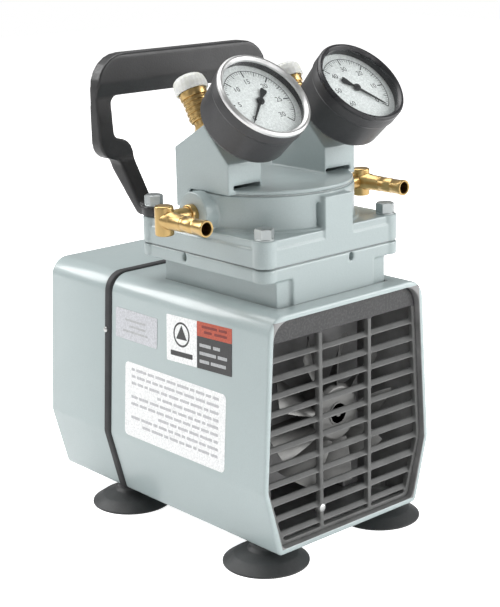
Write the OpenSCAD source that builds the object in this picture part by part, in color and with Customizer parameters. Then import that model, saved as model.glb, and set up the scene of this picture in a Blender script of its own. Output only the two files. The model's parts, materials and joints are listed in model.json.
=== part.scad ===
// Portable oil-free vacuum and pressure pump with a motor in a ventilated housing,
// a diaphragm pump head on top, two dial gauges, two relief valves, two hose barbs,
// a carrying handle and four suction feet. Units are millimetres. The origin is the
// centre of the footprint on the surface it stands on; the front grille faces -Y.

/* [Housing] */
// Widest width of the housing, across its side creases
body_w = 136; // [130:1:142]
// Width of the housing across the top, before its corners are rounded
body_top_w = 123; // [116:1:128]
// Width of the housing across the bottom
body_bottom_w = 114.6; // [108:0.2:120]
// Length of the housing from the front rim to the rear rim
body_l = 207; // [206:0.5:210]
// Height of the housing top above the surface
body_top_z = 153.4; // [152:0.2:154]
// Height of the side creases above the surface
crease_z = 53; // [48:1:58]
// Height of the housing bottom above the surface
body_bottom_z = 12.5; // [12:0.5:13]
// Wall thickness of the housing shells
wall = 3.5; // [3:0.5:4]
// Radius of the top corners of the housing
top_corner_r = 12; // [9:1:14]
// Distance from the front rim to the seam between the two shells
seam_y = 142.5; // [140:0.5:143]
// Width of the rubber band in the seam
seam_w = 5.5; // [4:0.5:5.5]

/* [Grilles] */
// Number of louvre bars in each grille
bar_count = 11; // [9:1:11]
// Distance between louvre bars
bar_pitch = 10.45; // [10:0.05:10.6]
// Height of the lowest louvre bar above the housing floor
bar_first = 6.6; // [6:0.2:8]
// Thickness of a louvre bar
bar_t = 3; // [2.4:0.2:3.4]
// Distance of the two upright ribs from the middle
rib_x = 20; // [18:1:24]
// Depth of the grille from front to back
grille_depth = 4; // [3:0.5:4]

/* [Pump head] */
// Half the width of the square head flanges
flange_half = 54; // [52:1:56]
// Radius of the round turret on the head
turret_r = 50; // [48:0.5:51]
// Height of the turret's top face above the surface
turret_top_z = 212.5; // [211:0.5:213]
// Height of the ridge of the two gauge blocks above the surface
ridge_z = 251.2; // [249:0.2:253]
// Distance of the gauges and relief valves from the middle
gauge_x = 37.6; // [36:0.2:39]
// Eccentric throw, half of the diaphragm stroke
throw = 3.5; // [2.5:0.5:3.5]

/* [Gauges] */
// Outer radius of a gauge case
gauge_r = 28.5; // [27:0.5:29]
// Depth of a gauge case
gauge_depth = 28; // [26:1:30]
// Distance from the gauge face to the sloping boss it screws into
gauge_reach = 41; // [40:0.5:43]

/* [Hose fittings] */
// Radius of the barb lands that the hose grips
barb_r = 4.75; // [4.6:0.05:4.9]
// Distance of the barb axes from the middle
barb_x = 78.4; // [77:0.2:80]
// Height of the barb axes above the surface
barb_z = 201.5; // [200:0.5:203]
// Length of a barb from its elbow to its tip
barb_l = 28.6; // [26:0.2:30]

/* [Handle and feet] */
// Height of the top of the handle above the surface
handle_top_z = 286.6; // [280:0.2:292]
// Depth of the handle bar from front to back
handle_t = 9.5; // [8:0.5:11]
// Radius of a suction foot
foot_r = 25.5; // [24:0.5:26]
// Distance of the feet from the middle
foot_x = 47.4; // [44:0.2:49]

/* [Hidden] */
$fn = 64;

// The footprint runs from the front suction feet to the rear rim.
foot_overhang = 3;
foot_front_y = foot_r - foot_overhang;
foot_rear_y = 150;
front_y = foot_overhang - (body_l + foot_overhang) / 2;
rear_y = front_y + body_l;
floor_z = body_bottom_z + wall;
ceiling_z = body_top_z - wall;
wall_lean = atan((body_w - body_top_w) / 2 / (body_top_z - crease_z));
grille_gap = 0.4;
front_recess = 3.5;
rear_recess = 1.5;
seam_proud = 1;
grille_band = 13;

// Pump head stations, from the front rim backwards and from the surface upwards.
flange_front = front_y + 12;
flange_rear = front_y + 121;
head_y = front_y + 66;
screw_inset = 6;
boss_r = 6.8;
flange_bottom_z = 168.6;
flange_top_z = 187;
diaphragm_z = 176;
diaphragm_t = 1;
boss_top_z = 192.5;
roof_z = 189;
plenum_z = 193;
gasket_t = 0.8;
chamber_r = 38;
neck_half = 43.5;
neck_rear = front_y + 112;
valve_x = 28;
port_y = head_y + 1;
port_r = 4.6;
manifold_r = 49.2;
manifold_t = 2.4;
block_in = 25;
block_out = 50;
block_front = head_y - 21.4;
block_rear = head_y + 25;
slope_run = 20.4;
rear_slope = 30;

// Motor and crank stations.
shaft_z = 82;
shaft_r = 6;
fit = 0.03;
case_front = front_y + 36;
case_rear = front_y + 96;
case_wall = 10;
bearing_r = 16;
bearing_w = 10;
ecc_r = 10;
rod_bearing_r = 15;
pin_z = shaft_z + throw;
stator_y = [front_y + 110, front_y + 156];
stator_r = 50;
rotor_r = 25;
bracket_y = [front_y + 169, front_y + 179];
bolt_circle = 45.5;
fan_r = 47;
fan_front_y = [front_y + 9.5, front_y + 26.5];
fan_rear_y = [front_y + 183, front_y + 200];
blade_count = 9;

// Gauge frame: the face centre, with local +Z out of the dial and +Y up it.
gauge_tilt = 45;
slope_mid = [head_y - 10.8, ridge_z - 9.7];
face_y = slope_mid[0] - gauge_reach * sin(gauge_tilt);
face_z = slope_mid[1] + gauge_reach * cos(gauge_tilt);
dial_depth = 7;
lens_depth = 2.2;
stem_r = 6.5;

// Relief valve frame: the rear slope, with local +Z along the valve.
relief_y = head_y + 10;
relief_z = ridge_z - 11 * tan(rear_slope);
relief_bore_r = 5;

// Handle path.
handle_foot_y = front_y + 115;
arm_x = 61;
leg_x = 48;
jog_z = 230;
grip_h = 25;

metal = [0.66, 0.70, 0.70];
black = [0.10, 0.10, 0.11];
charcoal = [0.20, 0.20, 0.21];
steel = [0.62, 0.63, 0.65];
brass = [0.80, 0.62, 0.28];

// ---- Helpers -------------------------------------------------------------

function unit(v) = v / norm(v);

// Points of an arc that rounds the corner p between its neighbours a and b.
function corner(p, a, b, r, n) =
    let (u = unit(a - p), w = unit(b - p), half = acos(u * w) / 2)
    let (c = p + unit(u + w) * r / sin(half), s = p + u * r / tan(half) - c)
    let (e = p + w * r / tan(half) - c, turn = sign(s[0] * e[1] - s[1] * e[0]))
    [for (i = [0:n]) let (g = turn * (180 - 2 * half) * i / n)
        c + [s[0] * cos(g) - s[1] * sin(g), s[0] * sin(g) + s[1] * cos(g)]];

// A polygon outline with each corner rounded to its own radius.
function rounded(pts, radii, n = 8) =
    let (m = len(pts))
    [for (i = [0:m - 1]) each radii[i] > 0
        ? corner(pts[i], pts[(i + m - 1) % m], pts[(i + 1) % m], radii[i], n)
        : [pts[i]]];

function box_points(x0, x1, y0, y1) = [[x0, y0], [x1, y0], [x1, y1], [x0, y1]];

function same(v, n) = [for (i = [1:n]) v];

// Extrudes an X-Z outline from y0 back to y1.
module along_y(y0, y1) {
    translate([0, y1, 0]) rotate([90, 0, 0]) linear_extrude(y1 - y0) children();
}

// Extrudes a Y-Z outline from x0 across to x1.
module along_x(x0, x1) {
    translate([x0, 0, 0]) rotate([90, 0, 90]) linear_extrude(x1 - x0) children();
}

module rod_y(x, z, r, y0, y1) {
    translate([x, y1, z]) rotate([90, 0, 0]) cylinder(r = r, h = y1 - y0);
}

module rod_x(y, z, r, x0, x1) {
    translate([x0, y, z]) rotate([0, 90, 0]) cylinder(r = r, h = x1 - x0);
}

module block(x, y, z) {
    translate([x[0], y[0], z[0]]) cube([x[1] - x[0], y[1] - y[0], z[1] - z[0]]);
}

module both_sides() {
    children();
    mirror([1, 0, 0]) children();
}

module at_feet() {
    for (x = [-foot_x, foot_x], y = [foot_front_y, foot_rear_y])
        translate([x, front_y + y, 0]) children();
}

module at_head_corners() {
    for (x = [-1, 1], y = [flange_front + screw_inset, flange_rear - screw_inset])
        translate([x * (flange_half - screw_inset), y, 0]) children();
}

// The outer face of the right wall of the rear shell, with local +X pointing out of it.
module at_gland() {
    translate([body_w / 2, rear_y - 24, crease_z]) rotate([0, -wall_lean, 0])
        translate([0, 0, 24]) children();
}

module at_gauge(side) {
    translate([side * gauge_x, face_y, face_z]) rotate([gauge_tilt, 0, 0]) children();
}

module at_relief(side) {
    translate([side * gauge_x, relief_y, relief_z]) rotate([-rear_slope, 0, 0]) children();
}

// ---- Housing -------------------------------------------------------------

// Section of the housing, drawn in by inset on every side.
module housing_section(inset) {
    top = body_top_w / 2 - inset;
    crease = body_w / 2 - inset;
    bottom = body_bottom_w / 2 - inset;
    z_low = body_bottom_z + inset;
    z_high = body_top_z - inset;
    right = [[bottom, z_low], [crease, crease_z], [top, z_high]];
    left = [[-top, z_high], [-crease, crease_z], [-bottom, z_low]];
    polygon(rounded(concat(right, left), [4, 10, top_corner_r, top_corner_r, 10, 4]));
}

module shell(y0, y1) {
    along_y(y0, y1) difference() {
        housing_section(0);
        housing_section(wall);
    }
}

module neck_hole(grow, z0, z1) {
    block([-neck_half - grow, neck_half + grow], [flange_front - grow, neck_rear + grow],
        [z0, z1]);
}

module shroud_front() {
    color(metal) difference() {
        shell(front_y, front_y + seam_y);
        neck_hole(1.2, ceiling_z - 10, body_top_z + 5);
        at_feet() cylinder(r = 2.6, h = floor_z + 5);
    }
}

module shroud_rear() {
    color(metal) difference() {
        shell(front_y + seam_y + seam_w, rear_y);
        at_feet() cylinder(r = 2.6, h = floor_z + 5);
        at_gland() rod_x(0, 0, 6 + fit, -10, 10);
    }
}

module seam_gasket() {
    color(black) difference() {
        along_y(front_y + seam_y, front_y + seam_y + seam_w) difference() {
            housing_section(-seam_proud);
            housing_section(wall + 3);
        }
        at_feet() cylinder(r = 3, h = floor_z + 5);
        at_feet() cylinder(r = 9.6, h = body_bottom_z + 0.5);
        block([-52, 52], [foot_rear_y + front_y - 30, foot_rear_y + front_y + 30],
            [floor_z, floor_z + 5]);
    }
}

module collar_gasket() {
    color(black) difference() {
        neck_hole(1.15, ceiling_z, body_top_z + 0.8);
        neck_hole(0.05, ceiling_z - 1, body_top_z + 2);
    }
}

// One louvre bar, a blade that slopes up and inwards; out is -1 at the front, 1 at the rear.
module louvre(face, out) {
    half = bar_t / 2;
    along_x(-body_w / 2, body_w / 2) polygon([
        [face, -half], [face - out * 0.7 * grille_depth, half], [face - out * grille_depth, half],
        [face - out * grille_depth, half - 1.2], [face - out * 1.3, -half]
    ]);
}

module grille(y0, out) {
    face = out < 0 ? y0 : y0 + grille_depth;
    difference() {
        union() {
            along_y(y0, y0 + grille_depth) difference() {
                housing_section(wall + grille_gap);
                housing_section(wall + grille_gap + 2.6);
            }
            along_y(y0, y0 + grille_depth) intersection() {
                housing_section(wall + grille_gap + 1);
                union() {
                    translate([-body_w / 2, ceiling_z - grille_band])
                        square([body_w, grille_band]);
                    for (x = [-rib_x, rib_x])
                        translate([x - 1.4, floor_z]) square([2.8, ceiling_z - floor_z]);
                }
            }
            intersection() {
                along_y(y0, y0 + grille_depth) housing_section(wall + grille_gap + 1);
                for (i = [0:bar_count - 1])
                    translate([0, 0, floor_z + bar_first + i * bar_pitch]) louvre(face, out);
            }
            rod_y(-rib_x, floor_z + 14.5, 3, y0, y0 + grille_depth);
        }
        rod_y(-rib_x, floor_z + 14.5, 1.5, y0 - 1, y0 + grille_depth + 1);
    }
}

module grille_front() {
    color(charcoal) grille(front_y + front_recess, -1);
}

module grille_rear() {
    color(charcoal) grille(rear_y - rear_recess - grille_depth, 1);
}

module grille_screws() {
    head = 1.2;
    front = front_y + front_recess;
    back = rear_y - rear_recess;
    color(steel) {
        rod_y(-rib_x, floor_z + 14.5, 2.4, front - head, front);
        rod_y(-rib_x, floor_z + 14.5, 1.45, front, front + grille_depth);
        rod_y(-rib_x, floor_z + 14.5, 2.4, back, back + head);
        rod_y(-rib_x, floor_z + 14.5, 1.45, back - grille_depth, back);
    }
}

module base_plate() {
    color(steel) difference() {
        block([-50.6, 50.6], [front_y + 10, front_y + 190], [floor_z, floor_z + 3]);
        at_feet() cylinder(r = 2.6, h = floor_z + 5);
    }
}

// The gland where the mains lead enters, low on the right wall of the rear shell.
module cord_gland() {
    color(black) at_gland() difference() {
        union() {
            rod_x(0, 0, 8.5, 0.05, 3);
            rod_x(0, 0, 6, -11, 0.1);
            rod_x(0, 0, 6.8, 2.9, 7);
            rod_x(0, 0, 8.5, -9, -wall - 0.6);
        }
        rod_x(0, 0, 3.6, -12, 8);
    }
}

// Blank plates laid on the sloping left wall.
module label_plates() {
    plates = [[97, 137.5, 63.5, 82], [30, 88, 58, 88], [34, 127.5, 3.5, 50]];
    color("white") translate([-body_w / 2, front_y, crease_z]) rotate([0, wall_lean, 0])
        for (p = plates)
            translate([-0.45, p[0], p[2]]) cube([0.4, p[1] - p[0], p[3] - p[2]]);
}

// ---- Pump head castings --------------------------------------------------

module flange_outline(inset) {
    polygon(rounded(box_points(-flange_half + inset, flange_half - inset,
        flange_front + inset, flange_rear - inset), same(6.8, 4)));
}

module crankcase() {
    color(metal) difference() {
        union() {
            translate([0, 0, flange_bottom_z]) linear_extrude(diaphragm_z - flange_bottom_z)
                flange_outline(0);
            at_head_corners() translate([0, 0, flange_bottom_z])
                cylinder(r = boss_r, h = diaphragm_z - flange_bottom_z);
            block([-neck_half, neck_half], [flange_front + 2, neck_rear],
                [134, flange_bottom_z]);
            block([-32.5, 32.5], [flange_front, flange_front + 2], [134, flange_bottom_z]);
            block([-neck_half, neck_half], [case_front, case_rear], [floor_z + 3, 134]);
        }
        translate([0, head_y, 126]) cylinder(r = chamber_r, h = 60);
        block([-36, 36], [case_front + case_wall, case_rear - case_wall], [46, 127]);
        block([-30, 30], [case_front - 1, case_rear + 1], [floor_z, 38]);
        rod_y(0, shaft_z, 8, case_front - 1, case_front + case_wall + 1);
        rod_y(0, shaft_z, bearing_r + fit, case_rear - case_wall - 1, case_rear + 1);
        at_head_corners() translate([0, 0, 150]) cylinder(r = 3 + fit, h = 40);
        for (a = [45:90:315])
            rod_y(bolt_circle * cos(a), shaft_z + bolt_circle * sin(a), 2.5 + fit,
                case_rear - 8, case_rear + 1);
    }
}

module head_plate() {
    low = diaphragm_z + diaphragm_t;
    color(metal) difference() {
        union() {
            translate([0, 0, low]) linear_extrude(flange_top_z - low) flange_outline(0);
            at_head_corners() translate([0, 0, low]) cylinder(r = boss_r, h = boss_top_z - low);
            translate([0, head_y, low]) cylinder(r = turret_r, h = turret_top_z - low);
            translate([0, 0, flange_top_z]) linear_extrude(boss_top_z - 0.4 - flange_top_z)
                flange_outline(0.8);
            translate([0, head_y, flange_top_z])
                cylinder(r = turret_r + 2.2, h = boss_top_z + 0.8 - flange_top_z);
            block([-7, 15], [flange_front, head_y], [flange_top_z, turret_top_z - 1.5]);
            intersection() {
                rod_x(port_y, barb_z, 12.5, -58, 58);
                block([-60, 60], [flange_front, flange_rear], [flange_top_z, turret_top_z + 4]);
            }
        }
        translate([0, head_y, low - 1]) cylinder(r = chamber_r, h = roof_z - low + 1);
        difference() {
            translate([0, head_y, plenum_z]) cylinder(r = 42, h = 40);
            block([-3, 3], [head_y - 45, head_y + 45], [plenum_z - 1, turret_top_z]);
        }
        translate([0, head_y, turret_top_z]) cylinder(r = turret_r + 0.4, h = 20);
        both_sides() translate([valve_x, head_y, roof_z - 1]) cylinder(r = 3.5, h = 6);
        block([-8.4, -7], [head_y - turret_r - 3, head_y - turret_r + 3.5], [193.6, 207.5]);
        both_sides() rod_x(port_y, barb_z, port_r + fit, 38, 60);
        at_head_corners() translate([0, 0, 150]) cylinder(r = 3 + fit, h = 60);
    }
}

module head_gasket() {
    color(black) translate([0, head_y, turret_top_z]) difference() {
        cylinder(r = manifold_r - 0.4, h = gasket_t);
        difference() {
            translate([0, 0, -1]) cylinder(r = 43, h = 4);
            translate([-2.5, -45, -2]) cube([5, 90, 6]);
        }
    }
}

module manifold() {
    low = turret_top_z + gasket_t;
    front_z = ridge_z - slope_run;
    rear_z = ridge_z - (block_rear - block_front - slope_run) * tan(rear_slope);
    color(metal) difference() {
        union() {
            translate([0, head_y, low]) cylinder(r = manifold_r, h = manifold_t);
            both_sides() along_x(block_in, block_out) polygon([
                [block_front, low], [block_front, front_z],
                [block_front + slope_run, ridge_z],
                [block_rear, rear_z], [block_rear, 202], [block_rear - 12, 202],
                [block_rear - 12, low]
            ]);
        }
        translate([0, head_y, 150]) cylinder(r = turret_r + 0.5, h = low - 150);
        both_sides() block([block_in + 5, block_out - 9],
            [block_front + 6, block_rear - 6], [low - 1, 226]);
        both_sides() block([block_in + 1, block_out - 4], [block_front - 1, block_front + 4],
            [low + manifold_t, low + manifold_t + 4]);
        for (s = [-1, 1]) {
            at_gauge(s) translate([0, 0, -gauge_reach - 9])
                cylinder(r = stem_r + fit, h = 20);
            at_relief(s) translate([0, 0, -9]) cylinder(r = 5.5 + fit, h = 20);
        }
    }
}

module diaphragm() {
    mid = diaphragm_z + diaphragm_t / 2;
    color(black) difference() {
        union() {
            translate([0, 0, diaphragm_z]) linear_extrude(diaphragm_t) difference() {
                flange_outline(0.8);
                translate([0, head_y]) circle(r = chamber_r - 1);
            }
            translate([0, head_y, 0]) rotate_extrude() polygon([
                [chamber_r - 0.5, mid - 0.5], [chamber_r - 0.5, mid + 0.5],
                [33, mid + 4.4], [27, mid + 5.6], [22, mid + throw + 0.5],
                [3.2, mid + throw + 0.5], [3.2, mid + throw - 0.5], [22, mid + throw - 0.5],
                [27, mid + 4.4], [32.6, mid + 3.3]
            ]);
        }
        at_head_corners() translate([0, 0, 150]) cylinder(r = 3.3, h = 60);
    }
}

// ---- Crank mechanism -----------------------------------------------------

clamp_low_z = diaphragm_z + throw - 0.1;
clamp_high_z = clamp_low_z + diaphragm_t + 0.2;

module clamp_plate_lower() {
    color(steel) translate([0, head_y, clamp_low_z - 2.4]) difference() {
        cylinder(r = 20, h = 2.4);
        translate([0, 0, -1]) cylinder(r = 3 + fit, h = 5);
    }
}

module clamp_plate_upper() {
    color(steel) translate([0, head_y, clamp_high_z]) difference() {
        cylinder(r = 20, h = 2.4);
        translate([0, 0, -1]) cylinder(r = 3 + fit, h = 5);
    }
}

module clamp_screw() {
    head_z = clamp_high_z + 2.4;
    color(steel) translate([0, head_y, 0]) {
        translate([0, 0, head_z]) cylinder(r = 5, h = 2.2, $fn = 6);
        translate([0, 0, 158]) cylinder(r = 3, h = head_z - 158);
    }
}

module connecting_rod() {
    top = clamp_low_z - 2.4;
    color(metal) difference() {
        union() {
            rod_y(0, pin_z, 20, head_y - 6, head_y + 6);
            block([-8, 8], [head_y - 6, head_y + 6], [pin_z + 10, top - 4]);
            translate([0, head_y, top - 6]) cylinder(r = 13, h = 6);
        }
        rod_y(0, pin_z, rod_bearing_r + fit, head_y - 7, head_y + 7);
        block([-4.5, 4.5], [head_y - 7, head_y - 3], [pin_z + 26, top - 26]);
        block([-4.5, 4.5], [head_y + 3, head_y + 7], [pin_z + 26, top - 26]);
        translate([0, head_y, 156]) cylinder(r = 3 + fit, h = 40);
    }
}

module rod_bearing() {
    color(steel) difference() {
        rod_y(0, pin_z, rod_bearing_r, head_y - 5, head_y + 5);
        rod_y(0, pin_z, ecc_r + fit, head_y - 6, head_y + 6);
        difference() {
            rod_y(0, pin_z, 13.4, head_y - 6, head_y - 4.2);
            rod_y(0, pin_z, 11.6, head_y - 7, head_y - 3);
        }
    }
}

module eccentric() {
    color(steel) difference() {
        union() {
            rod_y(0, pin_z, ecc_r, head_y - 10, head_y + 6);
            difference() {
                rod_y(0, shaft_z, 30, head_y - 18, head_y - 10);
                block([-40, 40], [head_y - 20, head_y], [shaft_z + 6, shaft_z + 40]);
            }
            rod_y(0, shaft_z, 12, head_y - 18, head_y - 10);
        }
        rod_y(0, shaft_z, shaft_r + fit, head_y - 30, head_y + 30);
    }
}

module motor_shaft() {
    color(steel) difference() {
        rod_y(0, shaft_z, shaft_r, fan_front_y[0], fan_rear_y[1]);
        rod_y(0, shaft_z, 2, fan_front_y[0] - 1, fan_front_y[0] + 6);
    }
}

module rotor_core() {
    color(steel) difference() {
        union() {
            rod_y(0, shaft_z, rotor_r, stator_y[0], stator_y[1]);
            rod_y(0, shaft_z, rotor_r - 5, stator_y[0] - 3, stator_y[1] + 3);
        }
        rod_y(0, shaft_z, shaft_r + fit, stator_y[0] - 5, stator_y[1] + 5);
    }
}

// An axial fan: a hub cup and pitched blades.
module fan(y) {
    mid = (y[0] + y[1]) / 2;
    width = y[1] - y[0];
    difference() {
        union() {
            rod_y(0, shaft_z, 18, y[0], y[1]);
            intersection() {
                rod_y(0, shaft_z, fan_r, y[0], y[1]);
                for (i = [0:blade_count - 1])
                    translate([0, mid, shaft_z]) rotate([0, i * 360 / blade_count, 0])
                        translate([0, 0, 16]) rotate([0, 0, 38])
                        translate([-0.8, -width, 0]) cube([1.6, 2 * width, fan_r]);
            }
        }
        rod_y(0, shaft_z, shaft_r + fit, y[0] - 1, y[1] + 1);
    }
}

module fan_front() {
    color(steel) fan(fan_front_y);
}

module fan_rear() {
    color(steel) fan(fan_rear_y);
}

module stator_core() {
    color(steel) difference() {
        rod_y(0, shaft_z, stator_r, stator_y[0], stator_y[1]);
        rod_y(0, shaft_z, rotor_r + 0.35, stator_y[0] - 1, stator_y[1] + 1);
        for (a = [45:90:315])
            rod_y(bolt_circle * cos(a), shaft_z + bolt_circle * sin(a), 2.5 + fit,
                stator_y[0] - 1, stator_y[1] + 1);
    }
}

// The end turns that stand out of both faces of the stator.
module windings() {
    color("peru") for (y = [stator_y[0] - 10, stator_y[1]])
        translate([0, y + 10, shaft_z]) rotate([90, 0, 0]) rotate_extrude()
            polygon(rounded(box_points(28, 41, 0, 10), same(3, 4), 4));
}

module rear_bracket() {
    color(metal) difference() {
        union() {
            rod_y(0, shaft_z, stator_r, bracket_y[0], bracket_y[1]);
            block([-40, 40], bracket_y, [floor_z + 3, shaft_z - 20]);
        }
        rod_y(0, shaft_z, bearing_r + fit, bracket_y[0] - 1, bracket_y[1] + 1);
        for (a = [0:60:300])
            rod_y(31 * cos(a), shaft_z + 31 * sin(a), 7, bracket_y[0] - 1, bracket_y[1] + 1);
        for (a = [45:90:315])
            rod_y(bolt_circle * cos(a), shaft_z + bolt_circle * sin(a), 2.5 + fit,
                bracket_y[0] - 1, bracket_y[1] + 1);
    }
}

module motor_bearings() {
    color("silver") for (y = [case_rear - bearing_w, bracket_y[0]]) difference() {
        rod_y(0, shaft_z, bearing_r, y, y + bearing_w);
        rod_y(0, shaft_z, shaft_r + fit, y - 1, y + bearing_w + 1);
    }
}

module through_bolts() {
    color(steel) for (a = [45:90:315]) {
        x = bolt_circle * cos(a);
        z = shaft_z + bolt_circle * sin(a);
        rod_y(x, z, 2.5, case_rear - 7, bracket_y[1]);
        translate([x, bracket_y[1] + 3.4, z]) rotate([90, 0, 0])
            cylinder(r = 4.4, h = 3.4, $fn = 6);
    }
}

module flapper() {
    cube([13, 9, 0.6]);
    translate([13, 4.5, 0]) cylinder(r = 4.5, h = 0.6);
}

module intake_flapper() {
    color("dimgray") translate([-valve_x + 9, head_y - 4.5, roof_z - 0.7])
        mirror([1, 0, 0]) flapper();
}

module exhaust_flapper() {
    color("dimgray") translate([valve_x - 9, head_y - 4.5, plenum_z + 0.1]) flapper();
}

// ---- Gauges --------------------------------------------------------------

module gauge_case() {
    back = gauge_depth;
    color(charcoal) rotate_extrude() polygon([
        [stem_r - 1.2, -back], [gauge_r - 3.2, -back], [gauge_r - 1.8, -back + 1.6],
        [gauge_r - 0.7, -10], [gauge_r, -8.5], [gauge_r, -2.6],
        [gauge_r - 2.4, -2.6], [gauge_r - 2.4, -dial_depth - 1],
        [gauge_r - 4, -dial_depth - 1], [gauge_r - 4, -back + 3], [stem_r - 1.2, -back + 3]
    ]);
}

module gauge_bezel() {
    color("silver") rotate_extrude() polygon([
        [gauge_r - 3.4, -2.6], [gauge_r, -2.6], [gauge_r, -1], [gauge_r - 0.9, 0],
        [gauge_r - 2.1, 0], [gauge_r - 3.4, -1.4]
    ]);
}

module gauge_dial() {
    color("white") translate([0, 0, -dial_depth - 1]) difference() {
        cylinder(r = gauge_r - 2.5, h = 1);
        translate([0, 0, -1]) cylinder(r = 1.28, h = 3);
    }
}

module gauge_lens() {
    color([0.8, 0.9, 0.95, 0.35]) translate([0, 0, -lens_depth - 1.6])
        cylinder(r = gauge_r - 2.5, h = 1.2);
}

// A pointer with a thin tip towards the angle and a broad tail behind the hub.
module gauge_pointer(angle) {
    color("black") rotate([0, 0, angle]) translate([0, 0, -dial_depth + 0.8]) {
        linear_extrude(0.6) union() {
            circle(r = 2.6);
            polygon([[0, -1.1], [19.5, -0.25], [19.5, 0.25], [0, 1.1]]);
            polygon([[0, -1.2], [-9, -2], [-9, 2], [0, 1.2]]);
        }
        translate([0, 0, -2.2]) cylinder(r = 1.2, h = 2.4);
    }
}

module gauge_stem() {
    color(brass) {
        translate([0, 0, -gauge_reach]) cylinder(r = 8, h = gauge_reach - gauge_depth, $fn = 6);
        translate([0, 0, -gauge_reach - 7]) cylinder(r = stem_r, h = 7);
        translate([0, 0, -gauge_depth]) cylinder(r = stem_r - 1.3, h = 4.5);
    }
}

module gauge_case_left() { at_gauge(-1) gauge_case(); }
module gauge_case_right() { at_gauge(1) gauge_case(); }
module gauge_bezel_left() { at_gauge(-1) gauge_bezel(); }
module gauge_bezel_right() { at_gauge(1) gauge_bezel(); }
module gauge_dial_left() { at_gauge(-1) gauge_dial(); }
module gauge_dial_right() { at_gauge(1) gauge_dial(); }
module gauge_lens_left() { at_gauge(-1) gauge_lens(); }
module gauge_lens_right() { at_gauge(1) gauge_lens(); }
module gauge_pointer_left() { at_gauge(-1) gauge_pointer(225); }
module gauge_pointer_right() { at_gauge(1) gauge_pointer(-45); }
module gauge_stem_left() { at_gauge(-1) gauge_stem(); }
module gauge_stem_right() { at_gauge(1) gauge_stem(); }

// ---- Relief valves -------------------------------------------------------

module relief_body() {
    color(brass) difference() {
        union() {
            translate([0, 0, -7]) cylinder(r = 5.5, h = 7);
            cylinder(r = 7.4, h = 4, $fn = 6);
            translate([0, 0, 4]) cylinder(r = 5.8, h = 3);
            translate([0, 0, 7]) cylinder(r = 7.2, h = 14);
            for (i = [0:3]) translate([0, 0, 8.6 + 3.2 * i]) cylinder(r = 7.7, h = 1.6);
            translate([0, 0, 21]) cylinder(r = 8.2, h = 4.2);
        }
        translate([0, 0, 2]) cylinder(r = relief_bore_r, h = 30);
        translate([0, 0, -8]) cylinder(r = 2, h = 12);
    }
}

// A domed knob whose centre screw presses on the spring seat.
module relief_knob() {
    color("white") union() {
        rotate_extrude() polygon([
            [0, 27.2], [8.55, 27.2], [8.55, 25], [9.5, 25], [9.9, 25.6], [9.9, 29],
            [9.3, 31.6], [7.4, 33.8], [4, 34.8], [0, 35]
        ]);
        translate([0, 0, 19.6]) cylinder(r = 3, h = 8);
    }
}

module relief_seat() {
    color(steel) translate([0, 0, 17.6]) cylinder(r = relief_bore_r - 0.3, h = 1.7);
}

module relief_poppet() {
    color(steel) {
        translate([0, 0, 2.05]) cylinder(r = 4.2, h = 1.6);
        translate([0, 0, 3.65]) cylinder(r = 1.6, h = 5);
    }
}

spring_turns = 6;
spring_steps = 12;
spring_sides = 6;
wire_r = 0.4;
coil_r = 3.6;
spring_z = [4.4, 16.9];

function coil_ring(i) =
    let (n = spring_turns * spring_steps, a = 360 * i / spring_steps)
    let (z = spring_z[0] + (spring_z[1] - spring_z[0]) * i / n)
    [for (k = [0:spring_sides - 1]) let (b = 360 * k / spring_sides, r = coil_r + wire_r * cos(b))
        [r * cos(a), r * sin(a), z + wire_r * sin(b)]];

module relief_spring() {
    n = spring_turns * spring_steps;
    s = spring_sides;
    points = [for (i = [0:n]) each coil_ring(i)];
    walls = [for (i = [0:n - 1], k = [0:s - 1]) [i * s + k, i * s + (k + 1) % s,
        (i + 1) * s + (k + 1) % s, (i + 1) * s + k]];
    first = [for (k = [0:s - 1]) s - 1 - k];
    last = [for (k = [0:s - 1]) n * s + k];
    color(steel) polyhedron(points, concat([first], walls, [last]));
}

module relief_body_left() { at_relief(-1) relief_body(); }
module relief_body_right() { at_relief(1) relief_body(); }
module relief_knob_left() { at_relief(-1) relief_knob(); }
module relief_knob_right() { at_relief(1) relief_knob(); }
module relief_seat_left() { at_relief(-1) relief_seat(); }
module relief_seat_right() { at_relief(1) relief_seat(); }
module relief_spring_left() { at_relief(-1) relief_spring(); }
module relief_spring_right() { at_relief(1) relief_spring(); }
module relief_poppet_left() { at_relief(-1) relief_poppet(); }
module relief_poppet_right() { at_relief(1) relief_poppet(); }

// ---- Hose fittings -------------------------------------------------------

// A brass elbow on the right side: a leg into the head and a barb towards the front.
module elbow() {
    root = port_y - 8;
    tip = root - barb_l;
    color(brass) difference() {
        union() {
            translate([barb_x, port_y, barb_z - 9]) cylinder(r = 5.4, h = 17);
            rod_x(port_y, barb_z, port_r, 48, barb_x);
            rod_x(port_y, barb_z, 5.8, 58, 62);
            rod_y(barb_x, barb_z, 5.2, root, port_y);
            rod_y(barb_x, barb_z, barb_r, tip, root);
        }
        for (i = [0:1]) difference() {
            rod_y(barb_x, barb_z, barb_r + 1, tip + 8 + 9 * i, tip + 10 + 9 * i);
            rod_y(barb_x, barb_z, barb_r - 0.6, tip, tip + 30);
        }
        rod_y(barb_x, barb_z, 3.5, tip - 1, port_y + 3);
        rod_x(port_y, barb_z, 3.1, 46, barb_x);
    }
}

module elbow_left() { mirror([1, 0, 0]) elbow(); }
module elbow_right() { elbow(); }

// ---- Handle, fasteners and feet ------------------------------------------

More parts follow.
